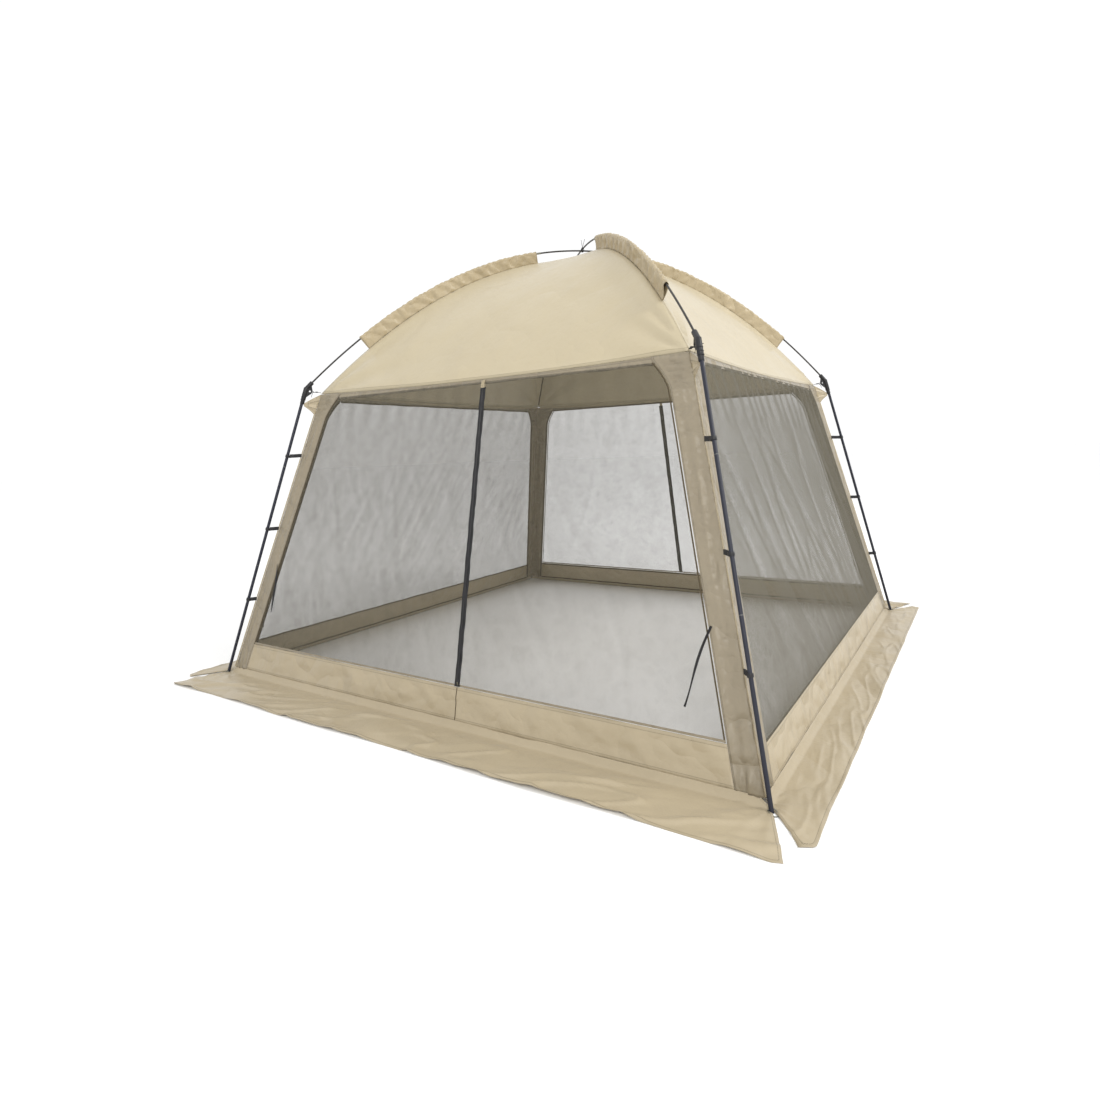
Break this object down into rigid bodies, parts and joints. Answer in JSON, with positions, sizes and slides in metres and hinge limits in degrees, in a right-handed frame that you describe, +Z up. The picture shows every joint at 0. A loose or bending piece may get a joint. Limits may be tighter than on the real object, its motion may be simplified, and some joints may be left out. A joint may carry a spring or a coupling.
{
  "type": "screen house shelter",
  "caption": "Free-standing square screen house: mesh walls with zip doors, a domed fabric roof hung from crossed arch rods, leaning tube legs and ground skirts.",
  "frame": {"origin": "on the ground, under the crossing of the two arch rods, at the middle of the square plan", "axes": "+Z up; -Y towards the front door; +X to the right seen from the front"},
  "size_m": [3.32, 3.52, 2.3567],
  "materials": {
    "roof_cloth": "coated polyester taffeta, cream khaki, soft satin",
    "trim_cloth": "coated polyester, tan, gathered",
    "wall_cloth": "coated polyester, beige, soft satin",
    "mesh_cloth": "fine light grey insect netting, see-through",
    "leg_steel": "black powder coat, satin",
    "rod_fibreglass": "dark wrapped fibreglass",
    "hub_plastic": "moulded black nylon",
    "webbing": "black woven tape",
    "ring_steel": "dull plated wire"
  },
  "bodies": {
    "shelter": {"apex_tie": "webbing", "arch_rod_lower": "rod_fibreglass", "arch_rod_upper": "rod_fibreglass", "bottom_band_back": "wall_cloth", "bottom_band_front": "wall_cloth", "corner_panel_back_left": "wall_cloth", "corner_panel_back_right": "wall_cloth", "corner_panel_front_left": "wall_cloth", "corner_panel_front_right": "wall_cloth", "corner_strap_back_left": "webbing", "corner_strap_back_right": "webbing", "corner_strap_front_left": "webbing", "corner_strap_front_right": "webbing", "hub_back_left": "hub_plastic", "hub_back_right": "hub_plastic", "hub_front_left": "hub_plastic", "hub_front_right": "hub_plastic", "leg_back_left": "leg_steel", "leg_back_right": "leg_steel", "leg_clip_back_left_1": "webbing", "leg_clip_back_left_2": "webbing", "leg_clip_back_left_3": "webbing", "leg_clip_back_right_1": "webbing", "leg_clip_back_right_2": "webbing", "leg_clip_back_right_3": "webbing", "leg_clip_front_left_1": "webbing", "leg_clip_front_left_2": "webbing", "leg_clip_front_left_3": "webbing", "leg_clip_front_right_1": "webbing", "leg_clip_front_right_2": "webbing", "leg_clip_front_right_3": "webbing", "leg_front_left": "leg_steel", "leg_front_right": "leg_steel", "mesh_wall_left": "mesh_cloth", "mesh_wall_right": "mesh_cloth", "rod_sleeve_back_left": "trim_cloth", "rod_sleeve_back_right": "trim_cloth", "rod_sleeve_front_left": "trim_cloth", "rod_sleeve_front_right": "trim_cloth", "roof_gore_back": "roof_cloth", "roof_gore_front": "roof_cloth", "roof_gore_left": "roof_cloth", "roof_gore_right": "roof_cloth", "skirt_back": "wall_cloth", "skirt_front": "wall_cloth", "skirt_left": "wall_cloth", "skirt_right": "wall_cloth", "tie_ribbon_front_left": "webbing", "tie_ribbon_front_left_inner": "webbing", "tie_ribbon_front_right": "webbing"},
    "back_door_left_half": {"door_back_left": "mesh_cloth"},
    "back_door_right_half": {"door_back_right": "mesh_cloth"},
    "front_door_left_half": {"door_front_left": "mesh_cloth"},
    "front_door_right_half": {"door_front_right": "mesh_cloth"},
    "back_left_ring": {"foot_ring_back_left": "ring_steel"},
    "back_right_ring": {"foot_ring_back_right": "ring_steel"},
    "front_left_ring": {"foot_ring_front_left": "ring_steel"},
    "front_right_ring": {"foot_ring_front_right": "ring_steel"},
    "back_zip_pull": {"zip_slider_back": "hub_plastic"},
    "front_zip_pull": {"zip_slider_front": "hub_plastic"}
  },
  "joints": [
    {"name": "front_right_door_swing", "type": "hinge", "parent": "shelter", "child": "front_door_right_half", "pos_m": [1.3303, -1.4323, 0.167], "axis": [0.2564, -0.2564, -0.9319], "range_deg": [0, 90]},
    {"name": "front_left_door_swing", "type": "hinge", "parent": "shelter", "child": "front_door_left_half", "pos_m": [-1.3303, -1.4323, 0.167], "axis": [0.2564, 0.2564, 0.9319], "range_deg": [0, 90]},
    {"name": "back_right_door_swing", "type": "hinge", "parent": "shelter", "child": "back_door_right_half", "pos_m": [1.3303, 1.4323, 0.167], "axis": [-0.2564, -0.2564, 0.9319], "range_deg": [0, 90]},
    {"name": "back_left_door_swing", "type": "hinge", "parent": "shelter", "child": "back_door_left_half", "pos_m": [-1.3303, 1.4323, 0.167], "axis": [-0.2564, 0.2564, -0.9319], "range_deg": [0, 90]},
    {"name": "front_zip_slide", "type": "slide", "parent": "front_door_right_half", "child": "front_zip_pull", "axis": [-0.0438, 0.2651, 0.9632], "range_m": [0, 1.28]},
    {"name": "back_zip_slide", "type": "slide", "parent": "back_door_right_half", "child": "back_zip_pull", "axis": [0, -0.2653, 0.9642], "range_m": [0, 1.28]},
    {"name": "front_right_ring_swing", "type": "hinge", "parent": "shelter", "child": "front_right_ring", "pos_m": [1.49776, -1.49776, 0.009], "axis": [-0.7071, -0.7071, 0], "range_deg": [0, 90]},
    {"name": "back_right_ring_swing", "type": "hinge", "parent": "shelter", "child": "back_right_ring", "pos_m": [1.49776, 1.49776, 0.009], "axis": [0.7071, -0.7071, 0], "range_deg": [0, 90]},
    {"name": "back_left_ring_swing", "type": "hinge", "parent": "shelter", "child": "back_left_ring", "pos_m": [-1.49776, 1.49776, 0.009], "axis": [0.7071, 0.7071, 0], "range_deg": [0, 90]},
    {"name": "front_left_ring_swing", "type": "hinge", "parent": "shelter", "child": "front_left_ring", "pos_m": [-1.49776, -1.49776, 0.009], "axis": [-0.7071, 0.7071, 0], "range_deg": [0, 90]}
  ]
}
